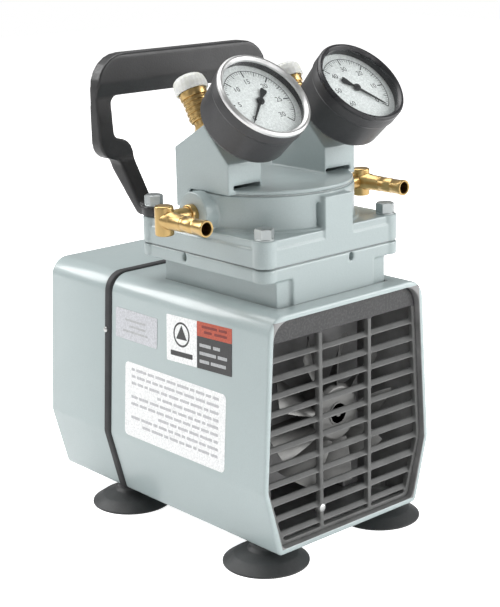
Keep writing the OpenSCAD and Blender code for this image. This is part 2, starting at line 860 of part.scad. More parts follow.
// Half of the handle seen from the front, to the right of the middle.
function handle_half() = let (w = 11, out = arm_x + w / 2, inner = arm_x - w / 2)
    [[0, handle_top_z], [out, handle_top_z], [out, jog_z - 6], [leg_x + w / 2, jog_z - 6],
        [leg_x + w / 2, 190], [leg_x - w / 2, 190], [leg_x - w / 2, jog_z + 6],
        [inner, jog_z + 6], [inner, handle_top_z - grip_h], [0, handle_top_z - grip_h]];

module handle_front_view() {
    half = rounded(handle_half(), [0, 20, 10, 4, 0, 0, 10, 4, 5, 0], 6);
    union() {
        polygon(half);
        mirror([1, 0]) polygon(half);
    }
}

// The handle seen from the side: flat feet, leaning legs and an upright grip.
module handle_side_view() {
    y0 = handle_foot_y;
    t = handle_t;
    rise = y0 + 29;
    top = handle_top_z;
    polygon(rounded([
        [y0 - 6, boss_top_z], [y0 + 10, boss_top_z], [rise + t / 2 + 1, 219],
        [rise + t / 2, top], [rise - t / 2, top],
        [rise - t / 2, top - 17], [rise - t / 2 + 3.5, top - grip_h],
        [rise - t / 2, 224], [y0 + 7, boss_top_z + 6], [y0 - 6, boss_top_z + 6]
    ], [0, 6, 8, 2, 2, 0, 0, 10, 5, 2], 4));
}

module handle() {
    color(black) difference() {
        union() {
            intersection() {
                along_y(handle_foot_y - 10, handle_foot_y + 60) handle_front_view();
                along_x(-body_w / 2, body_w / 2) handle_side_view();
            }
            both_sides() translate([leg_x, handle_foot_y, boss_top_z]) cylinder(r = 7, h = 6);
        }
        both_sides() translate([leg_x, flange_rear - screw_inset, 150])
            cylinder(r = 3 + fit, h = 60);
    }
}

module head_screws() {
    color(steel) for (x = [-1, 1], back = [0, 1]) {
        y = back == 1 ? flange_rear - screw_inset : flange_front + screw_inset;
        seat = back == 1 ? boss_top_z + 6 : boss_top_z;
        translate([x * (flange_half - screw_inset), y, 0]) {
            translate([0, 0, seat]) cylinder(r = 5.6, h = 6.5, $fn = 6);
            translate([0, 0, flange_bottom_z]) cylinder(r = 3, h = seat - flange_bottom_z);
        }
    }
}

module suction_feet() {
    lip = 2;
    color(black) at_feet() rotate_extrude() polygon([
        [2.6, 5], [9, 4.6], [17, 2.6], [foot_r - lip, 0], [foot_r, 0], [foot_r, 1],
        [19, 5.4], [10.5, 8.6], [9, 10], [9, body_bottom_z], [2.6, body_bottom_z]
    ]);
}

module foot_screws() {
    color(steel) at_feet() {
        translate([0, 0, 2.9]) cylinder(r = 4.4, h = 1.9);
        translate([0, 0, 4.8]) cylinder(r = 2.5, h = floor_z + 3 - 4.8);
        translate([0, 0, floor_z + 3]) cylinder(r = 4.6, h = 4, $fn = 6);
    }
}

shroud_front();
shroud_rear();
seam_gasket();
collar_gasket();
grille_front();
grille_rear();
grille_screws();
base_plate();
crankcase();
head_plate();
head_gasket();
manifold();
diaphragm();
clamp_plate_lower();
clamp_plate_upper();
clamp_screw();
connecting_rod();
rod_bearing();
eccentric();
motor_shaft();
rotor_core();
fan_front();
fan_rear();
stator_core();
windings();
rear_bracket();
motor_bearings();
through_bolts();
gauge_case_left();
gauge_bezel_left();
gauge_dial_left();
gauge_lens_left();
gauge_pointer_left();
gauge_stem_left();
gauge_case_right();
gauge_bezel_right();
gauge_dial_right();
gauge_lens_right();
gauge_pointer_right();
gauge_stem_right();
relief_body_left();
relief_knob_left();
relief_seat_left();
relief_spring_left();
relief_poppet_left();
relief_body_right();
relief_knob_right();
relief_seat_right();
relief_spring_right();
relief_poppet_right();
elbow_left();
elbow_right();
intake_flapper();
exhaust_flapper();
handle();
head_screws();
suction_feet();
foot_screws();
label_plates();
cord_gland();
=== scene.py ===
import json
import math

import bmesh
import bpy
import numpy as np
from mathutils import Matrix, Vector


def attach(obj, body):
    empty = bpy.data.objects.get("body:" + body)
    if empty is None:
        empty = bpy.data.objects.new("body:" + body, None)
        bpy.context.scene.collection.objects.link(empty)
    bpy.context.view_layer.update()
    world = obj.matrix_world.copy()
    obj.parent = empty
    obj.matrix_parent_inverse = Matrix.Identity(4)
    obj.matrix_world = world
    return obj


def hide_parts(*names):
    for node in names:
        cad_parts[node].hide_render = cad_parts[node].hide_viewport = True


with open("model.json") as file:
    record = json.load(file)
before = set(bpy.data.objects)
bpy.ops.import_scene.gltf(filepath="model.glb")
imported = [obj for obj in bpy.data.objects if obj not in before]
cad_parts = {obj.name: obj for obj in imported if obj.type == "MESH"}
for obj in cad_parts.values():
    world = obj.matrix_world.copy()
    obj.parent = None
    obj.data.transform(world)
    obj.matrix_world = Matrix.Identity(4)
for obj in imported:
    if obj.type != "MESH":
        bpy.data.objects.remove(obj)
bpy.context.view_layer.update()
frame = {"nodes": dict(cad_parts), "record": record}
NODES = frame["nodes"]
MM = 0.001
WELD = 2e-7

# ---------------------------------------------------------------- dimensions, mm
BODY_W, BODY_TOP_W, BODY_BOTTOM_W = 136.0, 123.0, 114.6
BODY_TOP_Z, CREASE_Z, BODY_BOTTOM_Z = 153.4, 53.0, 12.5
WALL, TOP_CORNER_R = 3.5, 12.0
FRONT_Y, REAR_Y = -102.0, 105.0
SEAM_Y, SEAM_W = 142.5, 5.5
FLOOR_Z = BODY_BOTTOM_Z + WALL
WALL_LEAN = math.atan((BODY_W - BODY_TOP_W) / 2 / (BODY_TOP_Z - CREASE_Z))
SHAFT_Z = 82.0
FAN_R = 46.8
GAUGE_R = 28.5
GAUGE_X, BLOCK_X = 37.6, 36.0
BARB_X, BARB_Z, BARB_R = 78.4, 201.5, 4.75
HEAD_Y = -36.0
PORT_Y = HEAD_Y + 1
RIDGE_Z = 251.2
GAUGE_TILT, GAUGE_REACH, GAUGE_SEAT_DROP = 45, 41.0, 9.7
RELIEF_TILT, RELIEF_BACK = 30, 11.0
DIAL_Z = -6.985
PRINT_LOW, PRINT_HIGH = DIAL_Z - 0.01, DIAL_Z + 0.03
BLADE_ROOT_R, BLADES, BLADE_STEPS = 17, 9, 8
FOOT_X, FOOT_R = 47.4, 25.5
FOOT_YS = (FRONT_Y + 22.5, FRONT_Y + 150.0)
SCREW_X, SCREW_YS = 48.0, (FRONT_Y + 18.0, FRONT_Y + 115.0)
BOSS_TOP_Z = 192.5


# ---------------------------------------------------------------- mesh helpers
def rounded(points, radii, n=8):
    """A closed outline with each corner rounded to its own radius."""
    out = []
    count = len(points)
    for i, p in enumerate(points):
        if radii[i] <= 0:
            out.append(tuple(p))
            continue
        p = np.array(p, float)
        a = np.array(points[i - 1], float) - p
        b = np.array(points[(i + 1) % count], float) - p
        a, b = a / np.linalg.norm(a), b / np.linalg.norm(b)
        half = math.acos(max(-1, min(1, a @ b))) / 2
        mid = (a + b) / np.linalg.norm(a + b)
        c = p + mid * radii[i] / math.sin(half)
        s = p + a * radii[i] / math.tan(half) - c
        e = p + b * radii[i] / math.tan(half) - c
        turn = math.copysign(math.pi - 2 * half, s[0] * e[1] - s[1] * e[0])
        for k in range(n + 1):
            g = turn * k / n
            out.append((c[0] + s[0] * math.cos(g) - s[1] * math.sin(g),
                        c[1] + s[0] * math.sin(g) + s[1] * math.cos(g)))
    return out


def rounded_open(points, radii, n=6):
    """A line whose inner corners are rounded; its two ends stay where they are."""
    return rounded(points, [0] + list(radii) + [0], n)


def place(x=0.0, y=0.0, z=0.0, tilt=0.0):
    """Moves to (x, y, z) after turning about X by tilt degrees."""
    return Matrix.Translation((x, y, z)) @ Matrix.Rotation(math.radians(tilt), 4, "X")


def gauge_frame(side):
    """The gauge's front rim: +Z out of the dial, which leans back from the front slope."""
    out = GAUGE_REACH * math.sin(math.radians(GAUGE_TILT))
    return place(side * GAUGE_X, HEAD_Y - 10.8 - out, RIDGE_Z - GAUGE_SEAT_DROP + out, GAUGE_TILT)


def relief_frame(side):
    """The relief valve's seat on the rear slope: +Z along the barrel."""
    drop = RELIEF_BACK * math.tan(math.radians(RELIEF_TILT))
    return place(side * GAUGE_X, HEAD_Y + 10, RIDGE_Z - drop, -RELIEF_TILT)


def along_y(x, z, y=0.0):
    """Local +Z runs towards +Y; local X stays X."""
    return Matrix.Translation((x, y, z)) @ Matrix.Rotation(math.radians(-90), 4, "X")


def along_x(y, z):
    """Local +Z runs towards +X from the plane x = 0."""
    return Matrix.Translation((0, y, z)) @ Matrix.Rotation(math.radians(90), 4, "Y")


def wall_frame():
    """The outer face of the left wall: +Y back, +Z up the wall, +X into it."""
    return (Matrix.Translation((-BODY_W / 2, FRONT_Y, CREASE_Z))
            @ Matrix.Rotation(WALL_LEAN, 4, "Y"))


class Shape:
    """Points in mm and faces, gathered before they become one mesh."""

    def __init__(self):
        self.v, self.f = [], []

    def add(self, points, faces, m=None):
        base = len(self.v)
        for p in points:
            q = Vector(p)
            self.v.append(tuple(m @ q) if m is not None else tuple(q))
        self.f += [[base + i for i in face] for face in faces]
        return self

    def grid(self, rings, closed_path=False, caps=False, m=None):
        """Skins a stack of closed rings; the stack may close on itself or end in caps."""
        n, rows = len(rings[0]), len(rings)
        points = [p for r in rings for p in r]
        faces = []
        for i in range(rows if closed_path else rows - 1):
            j = (i + 1) % rows
            for k in range(n):
                l = (k + 1) % n
                faces.append([i * n + k, i * n + l, j * n + l, j * n + k])
        if caps:
            faces.append(list(range(n))[::-1])
            faces.append([(rows - 1) * n + k for k in range(n)])
        return self.add(points, faces, m)

    def lathe(self, profile, m=None, seg=96, closed=True, flutes=0, flute=0.0):
        """Turns (r, z) points about local Z. An open profile starts and ends on the axis."""
        rings = []
        for r, z in profile:
            ring = []
            for k in range(seg):
                a = 2 * math.pi * k / seg
                q = r + (flute * math.cos(flutes * a) if flutes and r > 5 else 0)
                ring.append((q * math.cos(a), q * math.sin(a), z))
            rings.append(ring)
        if closed:
            return self.grid(rings, closed_path=True, m=m)
        base = len(self.v)
        self.grid(rings[1:-1], m=m)
        n, last = seg, len(rings) - 3
        for z, row, flip in ((profile[0][1], 0, True), (profile[-1][1], last, False)):
            tip = len(self.v)
            q = Vector((0, 0, z))
            self.v.append(tuple(m @ q) if m is not None else tuple(q))
            for k in range(n):
                a, b = base + row * n + k, base + row * n + (k + 1) % n
                self.f.append([tip, b, a] if flip else [tip, a, b])
        return self

    def prism(self, outline, z0, z1, m=None):
        lower = [(x, y, z0) for x, y in outline]
        upper = [(x, y, z1) for x, y in outline]
        return self.grid([lower, upper], caps=True, m=m)

    def box(self, x, y, z, m=None):
        return self.prism([(x[0], y[0]), (x[1], y[0]), (x[1], y[1]), (x[0], y[1])], z[0], z[1], m)

    def hex_head(self, r, z0, height, m=None, cut=0.93, seg=72):
        """A hexagon with the corners of its top turned off; r is the corner radius."""
        flat = r * math.cos(math.pi / 6)
        rings = [[], [], [], []]
        for k in range(seg):
            a = 2 * math.pi * k / seg
            rim = flat / math.cos((a + math.pi / 6) % (math.pi / 3) - math.pi / 6)
            c, s = math.cos(a), math.sin(a)
            drop = max(0.0, rim - flat * cut) * 0.55
            rings[0].append((rim * c, rim * s, z0))
            rings[1].append((rim * c, rim * s, z0 + height - drop))
            rings[2].append((flat * cut * c, flat * cut * s, z0 + height))
            rings[3].append((flat * cut * 0.5 * c, flat * cut * 0.5 * s, z0 + height))
        return self.grid(rings, caps=True, m=m)


def new_mesh(name, shape):
    """A welded mesh in metres with its normals outwards."""
    mesh = bpy.data.meshes.new(name)
    mesh.from_pydata([(x * MM, y * MM, z * MM) for x, y, z in shape.v], [], shape.f)
    bm = bmesh.new()
    bm.from_mesh(mesh)
    bmesh.ops.remove_doubles(bm, verts=bm.verts, dist=WELD)
    bmesh.ops.recalc_face_normals(bm, faces=bm.faces)
    bm.to_mesh(mesh)
    bm.free()
    return mesh


def link(name, mesh):
    o = bpy.data.objects.new(name, mesh)
    bpy.context.scene.collection.objects.link(o)
    return o


def bake_modifiers(o):
    """Replaces the mesh by what its modifiers make of it."""
    dg = bpy.context.evaluated_depsgraph_get()
    made = bpy.data.meshes.new_from_object(o.evaluated_get(dg), depsgraph=dg)
    o.modifiers.clear()
    old = o.data
    o.data = made
    made.name = o.name
    if old.users == 0:
        bpy.data.meshes.remove(old)
    return o


def shade(o, angle):
    """Smooth shading, with edges above the angle kept sharp; 0 keeps none."""
    o.data.shade_smooth()
    if angle:
        o.data.set_sharp_from_angle(angle=math.radians(angle))


def piece(name, source, material, body, replaces=(), angle=30):
    """Makes one visible piece from a shape or an object, and ties it to its body."""
    o = source if isinstance(source, bpy.types.Object) else link(name, new_mesh(name, source))
    shade(o, angle)
    o.data.materials.clear()
    o.data.materials.append(material)
    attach(o, body)
    if replaces:
        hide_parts(*replaces)
    return o


def carve(o, shape):
    """Cuts the shape out of o."""
    tool = link("tool", new_mesh("tool", shape))
    mod = o.modifiers.new("cut", "BOOLEAN")
    mod.operation, mod.object, mod.solver = "DIFFERENCE", tool, "MANIFOLD"
    bake_modifiers(o)
    bpy.data.objects.remove(tool)
    return o


def cast(name, nodes, voxel, passes, add=None, cut=(), keep=0.4):
    """A casting: the CAD solids and any extra solids become one skin with rounded edges."""
    bm = bmesh.new()
    for n in nodes:
        bm.from_mesh(NODES[n].data)
    bmesh.ops.remove_doubles(bm, verts=bm.verts, dist=WELD)
    mesh = bpy.data.meshes.new(name)
    bm.to_mesh(mesh)
    bm.free()
    o = link(name, mesh)
    for c in cut:
        carve(o, c)
    if add is not None:
        extra = new_mesh(name + "_add", add)
        bm = bmesh.new()
        bm.from_mesh(o.data)
        bm.from_mesh(extra)
        bm.to_mesh(o.data)
        bm.free()
        bpy.data.meshes.remove(extra)
    r = o.modifiers.new("skin", "REMESH")
    r.mode, r.voxel_size, r.adaptivity = "VOXEL", voxel * MM, 0.0
    s = o.modifiers.new("soft", "SMOOTH")
    s.factor, s.iterations = 0.5, passes
    d = o.modifiers.new("lean", "DECIMATE")
    d.decimate_type, d.ratio = "COLLAPSE", keep
    return bake_modifiers(o)


# ---------------------------------------------------------------- materials
class Graph:
    """A short way to write a node tree."""

    def __init__(self, name):
        self.m = bpy.data.materials.new(name)
        self.m.use_nodes = True
        self.t = self.m.node_tree
        self.t.nodes.clear()
        self.out = self.t.nodes.new("ShaderNodeOutputMaterial")
        self.co = self.node("ShaderNodeTexCoord").outputs["Object"]

    def node(self, kind, props=None, **inputs):
        n = self.t.nodes.new(kind)
        for k, v in (props or {}).items():
            setattr(n, k, v)
        for k, v in inputs.items():
            self.put(n.inputs[int(k[1:]) if k[0] == "_" and k[1:].isdigit() else k.replace("_", " ")], v)
        return n

    def put(self, socket, value):
        if isinstance(value, bpy.types.NodeSocket):
            self.t.links.new(value, socket)
        elif isinstance(value, (tuple, list)) and len(value) == 3 and socket.type == "RGBA":
            socket.default_value = (*value, 1)
        else:
            socket.default_value = value

    def noise(self, scale, detail=3, rough=0.55, stretch=None):
        at = self.co
        if stretch:
            at = self.node("ShaderNodeMapping", Vector=self.co, Scale=stretch).outputs[0]
        return self.node("ShaderNodeTexNoise", Vector=at, Scale=scale, Detail=detail,
                         Roughness=rough).outputs["Fac"]

    def cells(self, scale):
        return self.node("ShaderNodeTexVoronoi", Vector=self.co, Scale=scale).outputs["Distance"]

    def math(self, op, a, b=0.5):
        return self.node("ShaderNodeMath", {"operation": op}, _0=a, _1=b).outputs[0]

    def remap(self, value, lo, hi, to_lo=0.0, to_hi=1.0):
        return self.node("ShaderNodeMapRange", Value=value, From_Min=lo, From_Max=hi, To_Min=to_lo,
                         To_Max=to_hi).outputs[0]

    def mix(self, fac, a, b):
        n = self.node("ShaderNodeMix", {"data_type": "RGBA"})
        self.put(n.inputs[0], fac)
        self.put(n.inputs[6], a)
        self.put(n.inputs[7], b)
        return n.outputs[2]

    def edge(self, radius):
        """1 on edges and corners, 0 on plain surfaces."""
        soft = self.node("ShaderNodeBevel", {"samples": 4}, Radius=radius).outputs[0]
        flat = self.node("ShaderNodeNewGeometry").outputs["Normal"]
        same = self.node("ShaderNodeVectorMath", {"operation": "DOT_PRODUCT"}, _0=soft, _1=flat)
        return self.remap(same.outputs["Value"], 0.995, 0.86)

    def bump(self, height, distance, normal=None):
        n = self.node("ShaderNodeBump", Height=height, Distance=distance, Strength=1.0)
        if normal is not None:
            self.put(n.inputs["Normal"], normal)
        return n.outputs[0]

    def shader(self, base, rough, metal=0.0, normal=None, **more):
        n = self.node("ShaderNodeBsdfPrincipled", Base_Color=base, Roughness=rough, Metallic=metal,
                      **more)
        if normal is not None:
            self.put(n.inputs["Normal"], normal)
        return n.outputs[0]

    def done(self, surface):
        self.t.links.new(surface, self.out.inputs["Surface"])
        return self.m


def scaled(c, k):
    """A colour made darker or lighter by the factor k."""
    return tuple(min(1.0, x * k) for x in c)


def inside_housing(g):
    """1 on the inner faces of the housing shells, 0 on the outside: where paint() puts its painted
    shade.
    """
    at = g.node("ShaderNodeSeparateXYZ", Vector=g.co).outputs
    above = g.math("MAXIMUM", g.math("SUBTRACT", at[2], CREASE_Z * MM), 0.0)
    below = g.math("MAXIMUM", g.math("SUBTRACT", CREASE_Z * MM, at[2]), 0.0)
    lean = (BODY_W - BODY_BOTTOM_W) / 2 / (CREASE_Z - BODY_BOTTOM_Z)
    reach = g.math("ADD", g.math("ABSOLUTE", at[0]),
                   g.math("ADD", g.math("MULTIPLY", above, math.tan(WALL_LEAN)),
                          g.math("MULTIPLY", below, lean)))
    side = g.math("LESS_THAN", reach, (BODY_W / 2 - WALL + 0.2) * MM)
    roof = g.math("LESS_THAN", at[2], (BODY_TOP_Z - WALL + 0.2) * MM)
    floor_side = g.math("GREATER_THAN", at[2], (FLOOR_Z - 0.2) * MM)
    return g.math("MULTIPLY", side, g.math("MULTIPLY", roof, floor_side))


def paint(name, base, rough, grain, depth, cast_depth=0.0, wear=0.25, inside=None):
    """Sprayed enamel: a slow drift of tone, fine orange peel and thin rubbed edges; given inside, the
    inner faces of the housing take a darker painted shade.
    """
    g = Graph(name)
    drift = g.noise(9, 2)
    speck = g.noise(1300, 2)
    tone = g.mix(g.remap(drift, 0.3, 0.7), scaled(base, 0.95), scaled(base, 1.04))
    tone = g.mix(g.remap(speck, 0.35, 0.65, 0, 0.5), tone, scaled(base, 0.9))
    worn = g.math("MULTIPLY", g.edge(0.0007), g.remap(g.noise(160, 4), 0.42, 0.62, 0, wear))
    tone = g.mix(worn, tone, scaled(base, 1.25))
    if inside:
        # painted shade: the inner faces of the housing shells lie in shade, and are darkened to the
        # inside colour
        painted_inner_shade = g.mix(g.remap(g.noise(45, 4), 0.35, 0.65), scaled(inside, 0.8), scaled(inside, 1.25))
        tone = g.mix(inside_housing(g), tone, painted_inner_shade)
    shine = g.remap(g.noise(60, 4), 0.3, 0.7, rough - 0.05, rough + 0.06)
    normal = g.bump(g.noise(grain, 2), depth)
    if cast_depth:
        pits = g.remap(g.cells(520), 0.0, 0.35)
        normal = g.bump(g.math("ADD", g.noise(420, 5, 0.65), g.math("MULTIPLY", pits, 0.4)),
                        cast_depth, normal=normal)
    return g.done(g.shader(tone, shine, normal=normal, Coat_Weight=0.5, Coat_Roughness=0.16,
                           Specular_IOR_Level=0.5))


def plastic(name, base, rough, grain=1600, depth=3e-5, wear=0.3, light=2.2, **more):
    """Moulded plastic or rubber: fine texture, dusty tone in patches, paler edges."""
    g = Graph(name)
    patch = g.remap(g.noise(35, 5, 0.6), 0.35, 0.7)
    tone = g.mix(patch, scaled(base, 0.85), scaled(base, 1.2))
    tone = g.mix(g.remap(g.noise(700, 3), 0.45, 0.75, 0, 0.35), tone, scaled(base, 1.5))
    worn = g.math("MULTIPLY", g.edge(0.0006), g.remap(g.noise(140, 4), 0.4, 0.62, 0, wear))
    tone = g.mix(worn, tone, scaled(base, light))
    shine = g.remap(g.noise(80, 4), 0.3, 0.7, rough - 0.06, rough + 0.08)
    return g.done(g.shader(tone, shine, normal=g.bump(g.noise(grain, 3), depth), **more))


def grille_plastic(name, dust_and_sheen, rim_shade_tone):
    """Moulded grille: a lighter tone on the louvres and ribs, partly dust and partly painted sheen, and
    a painted shade: a darker band along the top, under the rim.
    """
    g = Graph(name)
    height = g.node("ShaderNodeSeparateXYZ", Vector=g.co).outputs[2]
    # painted shade: the top 13.5 mm of the grille, under the housing's rim, take the darker colour
    rim_shade_band = g.math("GREATER_THAN", height, (BODY_TOP_Z - WALL - 13.5) * MM)
    film = g.remap(g.noise(55, 5, 0.6), 0.3, 0.7)
    # the louvre tone is partly dust and partly painted sheen
    tone = g.mix(film, scaled(dust_and_sheen, 0.75), scaled(dust_and_sheen, 1.2))
    tone = g.mix(rim_shade_band, tone, rim_shade_tone)
    tone = g.mix(g.remap(g.noise(700, 3), 0.45, 0.75, 0, 0.35), tone, scaled(dust_and_sheen, 1.3))
    worn = g.math("MULTIPLY", g.edge(0.0006), g.remap(g.noise(140, 4), 0.4, 0.62, 0.1, 0.6))
    tone = g.mix(worn, tone, scaled(dust_and_sheen, 1.7))
    shine = g.remap(g.noise(80, 4), 0.3, 0.7, 0.42, 0.56)
    return g.done(g.shader(tone, shine, normal=g.bump(g.noise(1500, 3), 5e-5)))


def metal(name, base, rough, stretch, depth=1.5e-5, spread=0.12, tarnish=None):
    """Bare metal: machining or brushing lines, uneven tarnish, brighter rubbed edges."""
    g = Graph(name)
    lines = g.noise(60, 3, 0.6, stretch)
    patch = g.remap(g.noise(45, 4), 0.35, 0.7)
    tone = g.mix(patch, base, tarnish or scaled(base, 0.78))
    tone = g.mix(g.remap(lines, 0.3, 0.7, 0, 0.35), tone, scaled(base, 1.15))
    worn = g.math("MULTIPLY", g.edge(0.0005), 0.5)
    tone = g.mix(worn, tone, scaled(base, 1.3))
    shine = g.remap(lines, 0.3, 0.7, rough - spread / 2, rough + spread / 2)
    return g.done(g.shader(tone, shine, 1.0, g.bump(lines, depth)))


def print_ink(name, base, rough=0.5):
    """Printed film or enamel: a faint grain in tone, gloss and height."""
    g = Graph(name)
    tone = g.mix(g.remap(g.noise(900, 3), 0.35, 0.7), scaled(base, 0.85), scaled(base, 1.15))
    return g.done(g.shader(tone, g.remap(g.noise(300, 2), 0.3, 0.7, rough - 0.05, rough + 0.05),
                           normal=g.bump(g.noise(1200, 2), 8e-6)))


def lens_glass(name):
    """Thin clear glass: mostly see-through, with a reflection that grows at the edge."""
    g = Graph(name)
    clear = g.node("ShaderNodeBsdfTransparent", Color=(0.97, 0.985, 0.985)).outputs[0]
    smear = g.remap(g.noise(70, 4), 0.35, 0.7, 0.03, 0.09)
    gloss = g.node("ShaderNodeBsdfGlossy", Color=(1, 1, 1), Roughness=smear).outputs[0]
    facing = g.node("ShaderNodeLayerWeight", Blend=0.5).outputs["Facing"]
    edge = g.remap(g.math("POWER", facing, 4.0), 0.0, 1.0, 0.03, 0.55)
    mixed = g.node("ShaderNodeMixShader", _0=edge, _1=clear, _2=gloss).outputs[0]
    return g.done(mixed)


PAINT_RGB = (0.40, 0.472, 0.474)
M = {
    # In both paints the last colour is a painted shade for the inner faces of the housing.
    "housing_paint": paint("enamel_housing", PAINT_RGB, 0.36, 1500, 2.5e-5, inside=(0.20, 0.20, 0.20)),
    # The head's paint is the housing's darkened to 0.84: a painted shade for the head castings, which
    # sit under the gauges and fittings.
    "head_paint": paint("enamel_cast", scaled(PAINT_RGB, 0.84), 0.42, 1300, 3e-5, 1.1e-4, 0.35,
                        (0.13, 0.13, 0.13)),
    "rubber": plastic("rubber_black", (0.022, 0.022, 0.024), 0.62, 1100, 6e-5, 0.25, 2.0),
    "foot_rubber": plastic("rubber_feet", (0.028, 0.030, 0.031), 0.5, 900, 6e-5, 0.3, 2.2),
    "collar_rubber": plastic("rubber_collar", (0.24, 0.27, 0.27), 0.6, 1100, 6e-5, 0.25, 1.3),
    # The grille's first colour is dust and painted sheen; the second is the painted shade under the rim.
    "grille_plastic": grille_plastic("plastic_grille", (0.105, 0.107, 0.105), (0.030, 0.030, 0.031)),
    "gauge_plastic": plastic("plastic_gauge", (0.032, 0.032, 0.034), 0.42, 1200, 6e-5, 0.35, 2.2),
    "handle_black": plastic("coat_handle", (0.016, 0.016, 0.017), 0.40, 1000, 8e-5, 0.4, 2.4),
    "gland_black": plastic("plastic_gland", (0.02, 0.02, 0.021), 0.5, 1200, 5e-5),
    "black_bezel": plastic("plastic_bezel", (0.018, 0.018, 0.02), 0.28, 900, 2e-5, 0.3, 2.4),
    "knob_white": plastic("plastic_knob", (0.68, 0.69, 0.66), 0.34, 1000, 3e-5, 0.2, 1.1,
                          Subsurface_Weight=0.35, Subsurface_Radius=(0.004, 0.004, 0.003),
                          Subsurface_Scale=0.6),
    "dial_white": print_ink("dial_enamel", (0.80, 0.80, 0.79), 0.4),
    "dial_ink": print_ink("dial_ink", (0.012, 0.012, 0.013)),
    "pointer_black": plastic("pointer_enamel", (0.010, 0.010, 0.011), 0.4, 800, 1e-5),
    "label_white": print_ink("label_white", (0.86, 0.87, 0.87), 0.38),
    "label_mauve": print_ink("label_mauve", (0.55, 0.56, 0.59), 0.34),
    "label_black": print_ink("label_black", (0.035, 0.035, 0.036), 0.4),
    "label_orange": print_ink("label_orange", (0.46, 0.075, 0.035), 0.4),
    "label_maroon": print_ink("label_maroon", (0.20, 0.022, 0.014), 0.4),
    "label_grey": print_ink("label_grey", (0.50, 0.50, 0.52), 0.45),
    "label_silver": print_ink("label_silver", (0.42, 0.43, 0.44), 0.4),
    "gasket_fibre": plastic("gasket_fibre", (0.30, 0.33, 0.33), 0.7, 1300, 6e-5, 0.3, 1.3),
    "brass": metal("brass_turned", (0.53, 0.365, 0.155), 0.31, (3, 30, 3), 3e-6, 0.06,
                   (0.46, 0.315, 0.130)),
    "bolt_zinc": metal("bolt_zinc", (0.44, 0.47, 0.47), 0.46, (5, 5, 5), 2e-5, 0.14),
    "diaphragm_edge": plastic("diaphragm_edge", (0.20, 0.22, 0.22), 0.6, 1100, 4e-5, 0.3, 1.4),
    "chrome_bezel": metal("bezel_satin", (0.70, 0.70, 0.695), 0.38, (4, 4, 4), 1e-5, 0.1),
    "screw_steel": metal("screw_zinc", (0.62, 0.63, 0.62), 0.34, (5, 5, 5), 2e-5, 0.14),
    "plate_steel": metal("sheet_steel", (0.50, 0.51, 0.52), 0.42, (2, 40, 2), 2e-5),
    "machined_steel": metal("machined_steel", (0.56, 0.57, 0.58), 0.27, (4, 40, 4), 1e-5),
    "cast_aluminium": metal("cast_aluminium", (0.62, 0.63, 0.63), 0.5, (8, 8, 8), 9e-5, 0.1),
    # painted shade: the fans sit in shade inside the housing, and their aluminium is darkened to 0.19 to
    # stand in for it
    "fan_aluminium": metal("fan_aluminium", (0.19, 0.19, 0.185), 0.5, (3, 12, 3), 3e-5),
    "lamination": metal("lamination_stack", (0.20, 0.20, 0.205), 0.55, (1, 90, 1), 6e-5, 0.2),
    "copper": metal("winding_copper", (0.62, 0.26, 0.12), 0.38, (10, 60, 10), 6e-5, 0.15),
    "flapper_steel": metal("flapper_steel", (0.5, 0.5, 0.51), 0.3, (6, 6, 6), 1e-5),
    "lens": lens_glass("gauge_glass"),
}
for node, o in NODES.items():
    slot_name = next(s["material_slot"] for s in frame["record"]["subparts"] if s["node"] == node)
    key = {"label_film": "label_white"}.get(slot_name, slot_name)
    key = {"head_gasket": "gasket_fibre", "diaphragm": "diaphragm_edge"}.get(node, key)
    for s in o.material_slots:
        s.material = M[key]


# ---------------------------------------------------------------- housing
def section(inset, n=12):
    """The six-sided outline of the housing, drawn in by inset, as (x, z)."""
    top, crease, bottom = BODY_TOP_W / 2 - inset, BODY_W / 2 - inset, BODY_BOTTOM_W / 2 - inset
    low, high = BODY_BOTTOM_Z + inset, BODY_TOP_Z - inset
    pts = [(bottom, low), (crease, CREASE_Z), (top, high), (-top, high), (-crease, CREASE_Z),
           (-bottom, low)]
    return rounded(pts, [4, 10, TOP_CORNER_R, TOP_CORNER_R, 10, 4], n)


def shell(y0, y1, radii, wall=WALL, inset=0.0):
    """A tube of the housing's outline from y0 to y1, with the corners of its wall rounded."""
    walk = rounded([(inset, y0), (inset + wall, y0), (inset + wall, y1), (inset, y1)], radii, 5)
    return Shape().grid([[(x, y, z) for x, z in section(i)] for i, y in walk], closed_path=True)


def neck_outline(grow, r):
    """The rectangle round the foot of the head, widened by grow."""
    x, y0, y1 = 43.5 + grow, FRONT_Y + 12 - grow, FRONT_Y + 112 + grow
    return rounded([(-x, y0), (x, y0), (x, y1), (-x, y1)], [r] * 4, 6)


front = link("housing_front", new_mesh("housing_front",
             shell(FRONT_Y, FRONT_Y + SEAM_Y - 0.3, [1.5, 0.8, 0.5, 0.7])))
carve(front, Shape().prism(neck_outline(1.2, 3), BODY_TOP_Z - 12, BODY_TOP_Z + 5))
piece("housing_front", front, M["housing_paint"], "housing", ["shroud_front"])
piece("housing_rear", shell(FRONT_Y + SEAM_Y + SEAM_W + 0.6, REAR_Y, [0.7, 0.5, 0.8, 1.5]),
      M["housing_paint"], "housing", ["shroud_rear"])
piece("seam_band", shell(FRONT_Y + SEAM_Y - 0.4, FRONT_Y + SEAM_Y + SEAM_W + 0.7,
                         [1.8, 0.3, 0.3, 1.8], 4.2, -1.0),
      M["rubber"], "housing", ["seam_gasket"])
rivet = wall_frame() @ Matrix.Translation((-0.9, 146.6, 118.7 - CREASE_Z)) @ Matrix.Rotation(
    math.radians(-90), 4, "Y")
piece("seam_rivet", Shape().lathe([(0, 0), (1.7, 0), (1.7, 0.5), (1.4, 0.9), (0.8, 1.15),
                                   (0, 1.2)], rivet, 32, closed=False),
      M["screw_steel"], "housing")

